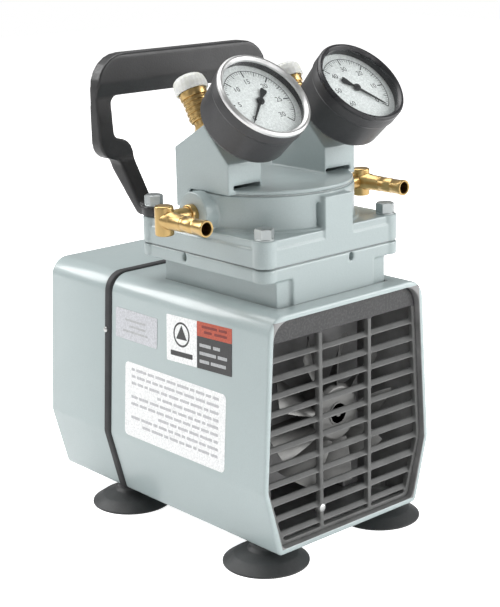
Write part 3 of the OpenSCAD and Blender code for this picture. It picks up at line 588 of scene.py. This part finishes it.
lip = [(1.15, BODY_TOP_Z - 3.4), (1.15, BODY_TOP_Z - 0.1), (0.9, BODY_TOP_Z + 0.1),
       (0.05, BODY_TOP_Z + 0.1), (0.05, BODY_TOP_Z - 3.4)]
piece("neck_gasket", Shape().grid([[(x, y, z) for x, y in neck_outline(g, 3)] for g, z in lip],
                                  closed_path=True),
      M["collar_rubber"], "housing", ["collar_gasket"])

for end, node in (("front", "grille_front"), ("rear", "grille_rear")):
    piece("louvre_" + end, cast("louvre_" + end, [node], 0.6, 3, keep=0.45), M["grille_plastic"],
          "housing", [node], angle=0)

screws = Shape()
for y, turn in ((FRONT_Y + 3.5, 180), (REAR_Y - 1.5, 0)):
    m = along_y(-20, FLOOR_Z + 14.5, y) @ Matrix.Rotation(math.radians(turn), 4, "X")
    screws.lathe([(0, -5), (1.4, -5), (1.4, 0), (2.4, 0), (2.3, 0.5), (1.6, 1.0), (0.8, 1.18),
                  (0, 1.2)], m, 32, closed=False)
piece("louvre_screws", screws, M["screw_steel"], "housing", ["grille_screws"])


# ---------------------------------------------------------------- pump head castings
def notch(x, y, z, w, d, h):
    """A block to cut away, centred on x and y and standing on z."""
    return Shape().box((x - w / 2, x + w / 2), (y - d / 2, y + d / 2), (z, z + h))


crank = cast("head_lower", ["crankcase"], 0.8, 3, keep=0.35,
             cut=[notch(14, FRONT_Y + 12, 170.8, 3.4, 9, 4.6),
                  notch(-54, FRONT_Y + 81, 170.8, 9, 3.4, 4.6)])
piece("head_lower", crank, M["head_paint"], "housing", ["crankcase"], angle=0)
slit = Shape().box((-8.8, -7.0), (HEAD_Y - 54, HEAD_Y - 46.4), (193.8, 207.5))
piece("head_upper", cast("head_upper", ["head_plate"], 0.6, 3, keep=0.35, cut=[slit]),
      M["head_paint"], "housing", ["head_plate"], angle=0)
gaps = [Shape().box((x - 10, x + 10), (HEAD_Y - 23, HEAD_Y - 8), (215.8, 219.6))
        for x in (-BLOCK_X, BLOCK_X)]
lids = Shape()
for x in (-BLOCK_X, BLOCK_X):
    lids.box((x - 11, x + 11), (HEAD_Y - 21, HEAD_Y - 14), (218.3, 220.2))
piece("head_manifold", cast("head_manifold", ["manifold"], 0.6, 3, add=lids, keep=0.4, cut=gaps),
      M["head_paint"], "housing", ["manifold"], angle=0)

bolts = Shape()
for x in (-SCREW_X, SCREW_X):
    for y, seat in zip(SCREW_YS, (BOSS_TOP_Z, BOSS_TOP_Z + 6)):
        m = place(x, y, 0)
        bolts.hex_head(5.6, seat + 0.7, 5.8, m)
        bolts.lathe([(0, seat), (5.5, seat), (5.5, seat + 0.5), (5.2, seat + 0.8), (0, seat + 0.8)],
                    m, 48, closed=False)
        bolts.lathe([(0, 168.6), (2.9, 168.6), (2.9, seat + 0.2), (0, seat + 0.2)], m, 32,
                    closed=False)
piece("head_bolts", bolts, M["bolt_zinc"], "housing", ["head_screws"], angle=25)

piece("carry_handle", cast("carry_handle", ["handle"], 0.8, 6, keep=0.4), M["handle_black"],
      "housing", ["handle"], angle=0)


# ---------------------------------------------------------------- gauges
def gauge(side, label, zero, sweep, numbers, bezel_key):
    """A dial gauge: case, bezel, printed scale from the angle zero on, needle and stem."""
    m = gauge_frame(side)
    R = GAUGE_R
    case = rounded([(5.3, -28), (R - 3.2, -28), (R - 1.7, -26), (R - 0.7, -9.6), (R, -8.4),
                    (R, -2.6), (R - 2.4, -2.6), (R - 2.4, -8), (R - 4, -8), (R - 4, -25),
                    (5.3, -25)], [0.3, 1.0, 1.5, 0.6, 0.5, 0.3, 0.2, 0.1, 0.3, 1, 0.3], 5)
    piece("gauge_case_" + label + "_skin", Shape().lathe(case, m, 128), M["gauge_plastic"],
          "housing", ["gauge_case_" + label], angle=40)
    ring = rounded([(R - 3.4, -2.7), (R, -2.7), (R, -1.1), (R - 0.9, 0), (R - 2.2, 0),
                    (R - 3.4, -1.5)], [0.1, 0.15, 0.6, 0.6, 0.5, 0.5], 5)
    piece("gauge_bezel_" + label + "_ring", Shape().lathe(ring, m, 128), M[bezel_key],
          "housing", ["gauge_bezel_" + label], angle=40)
    marks = Shape()

    def tick(angle, r0, r1, w):
        c, s = math.cos(angle), math.sin(angle)
        outline = [(r0 * c + w * s, r0 * s - w * c), (r1 * c + w * s, r1 * s - w * c),
                   (r1 * c - w * s, r1 * s + w * c), (r0 * c - w * s, r0 * s + w * c)]
        marks.prism(outline, PRINT_LOW, PRINT_HIGH, m)

    steps = 60
    for i in range(steps + 1):
        a = math.radians(zero + sweep * i / steps)
        major, mid = i % 10 == 0, i % 5 == 0
        tick(a, 17.6 if major else 18.8 if mid else 19.9, 21.8, 0.34 if major else 0.2 if mid else 0.1)
    loop = [(21.75, PRINT_LOW), (22.15, PRINT_LOW), (22.15, PRINT_HIGH), (21.75, PRINT_HIGH)]
    rings = [[(r * math.cos(a), r * math.sin(a), z) for r, z in loop]
             for a in np.radians(np.linspace(zero, zero + sweep, 91))]
    marks.grid(rings, caps=True, m=m)
    for i, n in enumerate(numbers):
        a = math.radians(zero + sweep * i / (len(numbers) - 1))
        text = bpy.data.curves.new("n", "FONT")
        text.body, text.size, text.align_x, text.align_y = str(n), 4.6, "CENTER", "CENTER"
        text.extrude, text.resolution_u = 0.015, 3
        t = bpy.data.objects.new("n", text)
        got = t.to_mesh()
        at = Matrix.Translation((14.3 * math.cos(a), 14.3 * math.sin(a), DIAL_Z + 0.01))
        marks.add([m @ (at @ v.co) for v in got.vertices], [list(p.vertices) for p in got.polygons])
        t.to_mesh_clear()
        bpy.data.objects.remove(t)
        bpy.data.curves.remove(text)
    piece("gauge_print_" + label, marks, M["dial_ink"], "housing", angle=0)
    blade = Shape()
    turn = m @ Matrix.Rotation(math.radians(zero), 4, "Z")
    half = [(-10.2, 1.7), (-9, 2.1), (-7.4, 1.9), (-3.2, 0.75), (2, 0.85), (16.5, 0.42)]
    outline = [(x, -y) for x, y in half] + [(20, 0)] + half[::-1]
    blade.prism(outline, -6.2, -5.75, turn)
    blade.lathe([(0, -8.2), (1.1, -8.2), (1.1, -6.3), (2.4, -6.2), (2.4, -5.5), (2.1, -5.1),
                 (1.2, -4.9), (1.2, -4.6), (0, -4.5)], turn, 40, closed=False)
    piece("gauge_needle_" + label, blade, M["pointer_black"], "pointer_" + label,
          ["gauge_pointer_" + label])
    stem = Shape().hex_head(8, -41, 6.5, m)
    stem.hex_head(7.4, -34.6, 6.6, m)
    thread = [(0, -48)] + [(6.4 if i % 2 else 5.8, -47.8 + 0.55 * i) for i in range(13)] + [
        (6.2, -40.8), (0, -40.8)]
    stem.lathe(thread, m, 48, closed=False)
    stem.lathe([(0, -28.2), (5.1, -28.2), (5.1, -24.4), (4.7, -24), (0, -24)], m, 48, closed=False)
    piece("gauge_stem_" + label + "_hex", stem, M["brass"], "housing",
          ["gauge_stem_" + label])


gauge(-1, "left", 225, -270, [0, 5, 10, 15, 20, 25, 30], "chrome_bezel")
gauge(1, "right", -45, 270, [0, 10, 20, 30, 40, 50, 60], "black_bezel")


# ---------------------------------------------------------------- relief valves
def relief(side, label):
    """A relief valve: a ringed barrel with an open bore, its hexagon, and a fluted knob."""
    m = relief_frame(side)
    body = [(2, -7), (5.4, -7), (5.4, 0.2), (5.8, 0.2), (5.8, 6.8), (6.9, 7.1), (7.15, 7.5)]
    for i in range(4):
        z = 8.6 + 3.2 * i
        body += [(7.15, z - 0.1), (7.6, z + 0.15), (7.7, z + 0.5), (7.7, z + 1.1), (7.6, z + 1.45),
                 (7.15, z + 1.7)]
    body += [(7.15, 20.8), (8.0, 21.1), (8.2, 21.5), (8.2, 24.8), (7.9, 25.2), (5.3, 25.2),
             (5.0, 24.9), (5.0, 2.0), (2, 2.0)]
    shape = Shape().lathe(body, m, 96)
    shape.lathe([(5.8, 0), (6.9, 0), (7.4, 0.4), (7.4, 3.8), (6.9, 4.2), (5.8, 4.2)], m, 6)
    piece("relief_barrel_" + label, shape, M["brass"], "housing",
          ["relief_body_" + label], angle=28)
    cap = rounded_open([(0, 27.2), (8.55, 27.2), (8.55, 25), (9.6, 25), (9.9, 25.5), (9.9, 29.2),
                        (9.0, 32.6), (6.4, 34.7), (0, 35)], [0.3, 0.2, 0.2, 0.2, 2.0, 3.0, 5], 5)
    knob = Shape().lathe(cap, m, 144, closed=False, flutes=24, flute=-0.08)
    knob.lathe([(0, 19.6), (2.9, 19.6), (2.9, 27.4), (0, 27.4)], m, 40, closed=False)
    piece("relief_cap_" + label, knob, M["knob_white"], "knob_" + label,
          ["relief_knob_" + label], angle=40)


relief(-1, "left")
relief(1, "right")


# ---------------------------------------------------------------- hose elbows
def elbow(side, label):
    """A brass elbow with a ribbed hose barb towards the front; the left one is mirrored."""
    y, x, r = PORT_Y, BARB_X, BARB_R
    tip = y - 8 - 28.6
    shape = Shape()
    body = rounded_open([(0, -9), (5.4, -9), (5.4, 8), (0, 8)], [1.0, 1.2], 6)
    shape.lathe(body, place(x, y, BARB_Z), 96, closed=False)
    shape.lathe([(0, 48), (4.55, 48), (4.55, 78), (0, 78)], along_x(y, BARB_Z), 64, closed=False)
    collar = rounded_open([(0, 58), (5.8, 58), (5.8, 62), (0, 62)], [0.3, 0.7], 4)
    shape.lathe(collar, along_x(y, BARB_Z), 72, closed=False)
    walk = [(3.5, 0.4), (3.9, 0), (r - 0.3, 0), (r, 0.35), (r, 2.4), (r - 0.3, 3.6), (r - 0.3, 7.9),
            (r - 0.45, 8.2), (r - 0.45, 9.8), (r - 0.25, 10.2), (r - 0.2, 16.9), (r - 0.35, 17.2),
            (r - 0.35, 18.7), (r - 0.1, 19.1), (r, 27.9), (5.0, 28.5), (5.2, 28.9), (5.2, 35),
            (3.5, 35)]
    shape.lathe(walk, along_y(x, BARB_Z, tip), 72)
    if side < 0:
        shape.v = [(-a, b, c) for a, b, c in shape.v]
    piece("hose_elbow_" + label, shape, M["brass"], "housing", ["elbow_" + label], angle=28)


elbow(-1, "left")
elbow(1, "right")


# ---------------------------------------------------------------- feet
foot = rounded([(2.6, 5), (9, 4.7), (17, 2.8), (FOOT_R - 1.9, 0), (FOOT_R, 0), (FOOT_R, 1.1), (19, 5.5),
                (11, 8.4), (9, 10), (9, 12.5), (2.6, 12.5)],
               [0.3, 1, 4, 0.2, 0.4, 0.4, 6, 1.6, 1.2, 0.4, 0.3], 6)
feet = Shape()
for x in (-FOOT_X, FOOT_X):
    for y in FOOT_YS:
        feet.lathe(foot, place(x, y, 0), 96)
piece("suction_cups", feet, M["foot_rubber"], "housing", ["suction_feet"], angle=50)


# ---------------------------------------------------------------- fans
def fan(name, y0, y1, node):
    """A hub with twisted, bowed blades, each a closed skin."""
    m = along_y(0, SHAFT_Z, y0)
    width = y1 - y0
    hub = rounded_open([(0, 0.4), (15.5, 0.4), (18, 3), (18, width), (0, width)], [1.5, 2.5, 0.5], 5)
    shape = Shape().lathe(hub, m, 96, closed=False)
    shape.lathe([(0, 0), (7, 0), (7, 1.2), (0, 1.2)], m, 48, closed=False)
    for b in range(BLADES):
        turn = m @ Matrix.Rotation(2 * math.pi * b / BLADES, 4, "Z")
        rings = []
        for i in range(BLADE_STEPS + 1):
            t = i / BLADE_STEPS
            r = BLADE_ROOT_R + (FAN_R - BLADE_ROOT_R) * t
            half = 0.40 - 0.05 * t
            pitch = 0.62 - 0.22 * t
            row_a, row_b = [], []
            for k in range(BLADE_STEPS + 1):
                u = k / BLADE_STEPS * 2 - 1
                a = u * half * 0.55 + 0.10 * t
                z = width / 2 + u * width * 0.44 * (1 - 0.12 * t)
                bow = 0.05 * (1 - u * u)
                c, s = math.cos(a + bow), math.sin(a + bow)
                row_a.append((r * c, r * s, z - pitch))
                c, s = math.cos(a + bow + 1.5 / r), math.sin(a + bow + 1.5 / r)
                row_b.append((r * c, r * s, z + pitch * 0.2))
            rings.append(row_a + row_b[::-1])
        shape.grid(rings, caps=True, m=turn)
    piece(name, shape, M["fan_aluminium"], "rotor", [node], angle=35)


fan("fan_front_bladed", FRONT_Y + 9.5, FRONT_Y + 26.5, "fan_front")
fan("fan_rear_bladed", FRONT_Y + 183, FRONT_Y + 200, "fan_rear")


# ---------------------------------------------------------------- labels
def wall_plane(turn=0.0, at=(0, 0)):
    """Local X up the left wall, Y back and Z out of it, turned about a point on the wall."""
    there = Matrix.Translation((at[0], at[1], 0))
    return (wall_frame() @ Matrix.Rotation(math.radians(-90), 4, "Y") @ there
            @ Matrix.Rotation(math.radians(turn), 4, "Z") @ there.inverted())


def on_wall(y0, y1, z0, z1, r, depth0, depth1, shape=None, m=None):
    """A flat plate on the left wall between two distances out from it."""
    shape = shape or Shape()
    outline = rounded([(z0, y0), (z1, y0), (z1, y1), (z0, y1)], [r] * 4, 5)
    return shape.prism(outline, depth0, depth1, m or wall_plane())


LABEL_BACK, LABEL_FACE, INK = -0.05, 0.22, 0.25
LABEL_TURN = 2.2
TEXT_ROWS, ROW_TOP, ROW_STEP, WORD_GAP = 9, 45.2, 4.3, 1.3
labels = on_wall(34, 127.5, 3.5, 50, 3, LABEL_BACK, LABEL_FACE)
skew = wall_plane(LABEL_TURN, (74, 60))
on_wall(60.4, 88, 60.5, 88, 0.8, LABEL_BACK, LABEL_FACE, labels, skew)
piece("labels_white", labels, M["label_white"], "housing", ["label_plates"])
piece("label_small", on_wall(97, 137.5, 63.5, 82, 1.2, LABEL_BACK, LABEL_FACE), M["label_mauve"],
      "housing")
piece("label_dark_panel", on_wall(30, 60.2, 60.5, 79.4, 0.5, LABEL_BACK, LABEL_FACE, None, skew),
      M["label_black"], "housing")
piece("label_orange_bar", on_wall(30, 60.2, 79.4, 88, 0.5, LABEL_BACK, LABEL_FACE, None, skew),
      M["label_orange"], "housing")
sign = Shape()
centre = skew @ Matrix.Translation((77.5, 74.2, 0))
sign.lathe([(6.2, LABEL_FACE), (7.4, LABEL_FACE), (7.4, INK), (6.2, INK)], centre, 64)
sign.prism([(5.6, 0), (-2.9, 4.9), (-2.9, -4.9)], LABEL_FACE, INK, centre)
on_wall(64.2, 84.2, 64.2, 67.2, 0.4, LABEL_FACE, INK, sign, skew)
piece("label_sign", sign, M["label_black"], "housing")
words = Shape()
for a, b, z in ((34, 41, 84.6), (42.5, 56, 84.6), (34, 45, 81.6), (47, 54, 81.6)):
    on_wall(a, b, z, z + 1.5, 0.3, LABEL_FACE, INK, words, skew)
piece("label_orange_words", words, M["label_maroon"], "housing")

lines = Shape()
for i in range(TEXT_ROWS):
    z = ROW_TOP - i * ROW_STEP
    cursor, k = 40.0, i
    stop = 122 - (26 if i in (3, 6) else 0) - (12 if i == 8 else 0)
    while cursor < stop:
        k = (k * 7 + 3) % 11
        w = 3.2 + k * 0.75
        on_wall(cursor, min(cursor + w, stop), z, z + 1.7, 0.4, LABEL_FACE, INK, lines)
        cursor += w + WORD_GAP
piece("label_lines", lines, M["label_grey"], "housing")
bars = Shape()
for i, ends in enumerate(((40, 46, 48, 58), (34, 42, 43.5, 58), (35, 48, 49.5, 58))):
    for a, b in (ends[:2], ends[2:]):
        on_wall(a, b, 73.4 - i * 4.7, 75.3 - i * 4.7, 0.3, LABEL_FACE, INK, bars, skew)
for a, b, z in ((108, 128, 75.2), (108, 124, 71.6), (106, 130, 68.2)):
    on_wall(a, b, z, z + 1.2, 0.3, LABEL_FACE, INK, bars)
piece("label_bars", bars, M["label_silver"], "housing")

# ---------------------------------------------------------------- stage, light, camera
floor = Shape().box((-3000, 3000), (-3000, 3000), (-1, -0.02))
floor_obj = link("floor", new_mesh("floor", floor))
g = Graph("floor_white")
tone = g.mix(g.remap(g.noise(2.5, 2), 0.3, 0.7), (0.90, 0.90, 0.90), (0.93, 0.93, 0.93))
glow = g.remap(g.node("ShaderNodeLightPath").outputs["Is Camera Ray"], 0.0, 1.0, 0.2, 0.85)
floor_obj.data.materials.append(g.done(g.shader(tone, 0.75, normal=g.bump(g.noise(400, 2), 1e-5),
                                                Emission_Color=(1, 1, 1), Emission_Strength=glow)))

scene = bpy.context.scene
scene.view_settings.view_transform = "Standard"
world = bpy.data.worlds.new("studio")
scene.world = world
world.use_nodes = True
sky = world.node_tree.nodes
sky["Background"].inputs["Color"].default_value = (1, 1, 1, 1)
sky["Background"].inputs["Strength"].default_value = 0.26
backdrop = sky.new("ShaderNodeBackground")
backdrop.inputs["Color"].default_value = (1, 1, 1, 1)
seen = sky.new("ShaderNodeLightPath")
blend = sky.new("ShaderNodeMixShader")
world.node_tree.links.new(seen.outputs["Is Camera Ray"], blend.inputs[0])
world.node_tree.links.new(sky["Background"].outputs[0], blend.inputs[1])
world.node_tree.links.new(backdrop.outputs[0], blend.inputs[2])
world.node_tree.links.new(blend.outputs[0], sky["World Output"].inputs["Surface"])


def area(name, at, target, size, power):
    """A white rectangular lamp that faces its target."""
    light = bpy.data.lights.new(name, "AREA")
    light.shape, light.size, light.size_y = "RECTANGLE", size[0], size[1]
    light.energy = power
    o = bpy.data.objects.new(name, light)
    scene.collection.objects.link(o)
    o.location = at
    o.rotation_mode = "QUATERNION"
    o.rotation_quaternion = (Vector(target) - Vector(at)).to_track_quat("-Z", "Y")


area("right", (1.3, -1.2, 0.7), (0, 0, 0.12), (1.0, 1.0), 21)
area("camera_side", (-0.7, -1.6, 0.5), (0, 0, 0.14), (0.9, 0.7), 3.5)
area("top", (0.1, 0.5, 1.7), (0, 0, 0.15), (1.6, 1.2), 25)
area("rim", (-0.85, 1.5, 1.15), (0, 0, 0.15), (0.9, 0.9), 20)
area("front", (0.35, -1.7, 0.75), (0, 0, 0.14), (0.9, 0.7), 8)
area("left", (-1.7, 0.1, 0.7), (0, 0, 0.12), (0.9, 0.9), 2)

AZ, EL, ROLL = math.radians(-41.48), math.radians(15.35), math.radians(-1.29)
DISTANCE, FOCAL_MM, SENSOR_MM = 0.922, 87.4971, 36
TARGET = Vector((0.01297, -0.002, 0.12857))
back = Vector((math.sin(AZ) * math.cos(EL), -math.cos(AZ) * math.cos(EL), math.sin(EL)))
right = Vector((0, 0, 1)).cross(back).normalized()
up = back.cross(right)
cam_right = right * math.cos(ROLL) + up * math.sin(ROLL)
cam_up = up * math.cos(ROLL) - right * math.sin(ROLL)
camera = bpy.data.cameras.new("camera")
camera.sensor_fit, camera.sensor_width = "AUTO", SENSOR_MM
camera.lens = FOCAL_MM
camera.clip_start, camera.clip_end = 0.01, 50
cam = bpy.data.objects.new("camera", camera)
scene.collection.objects.link(cam)
cam.matrix_world = Matrix((
    (cam_right.x, cam_up.x, back.x, TARGET.x + DISTANCE * back.x),
    (cam_right.y, cam_up.y, back.y, TARGET.y + DISTANCE * back.y),
    (cam_right.z, cam_up.z, back.z, TARGET.z + DISTANCE * back.z),
    (0, 0, 0, 1)))
scene.camera = cam
